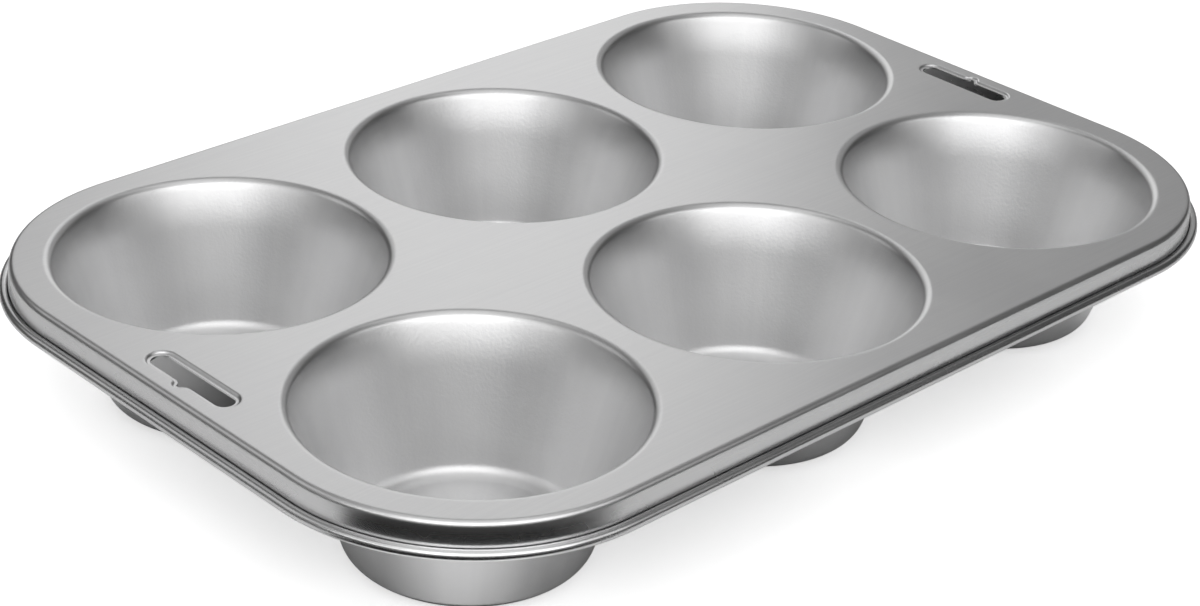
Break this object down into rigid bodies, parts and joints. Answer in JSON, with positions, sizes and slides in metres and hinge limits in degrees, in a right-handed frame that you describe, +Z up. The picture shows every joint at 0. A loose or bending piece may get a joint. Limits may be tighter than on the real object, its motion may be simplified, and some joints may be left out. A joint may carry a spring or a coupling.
{
  "type": "jumbo muffin pan",
  "caption": "Pressed steel jumbo muffin pan: rounded flat deck with deep tapered cups, a hanging slot at each short end and a skirt rolled round a wire.",
  "frame": {"origin": "centre of the pan's plan at the level the cups stand on", "axes": "+X along the long side, +Y from the front row of cups to the back row, +Z up out of the cups"},
  "size_m": [0.341, 0.233, 0.0441],
  "materials": {
    "tinned_steel": "satin tin plate",
    "rim_wire": "drawn steel wire"
  },
  "bodies": {
    "root": {"deck_panel": "tinned_steel", "rim_wire": "rim_wire", "cup_front_left": "tinned_steel", "cup_front_middle": "tinned_steel", "cup_front_right": "tinned_steel", "cup_back_left": "tinned_steel", "cup_back_middle": "tinned_steel", "cup_back_right": "tinned_steel"}
  },
  "joints": []
}
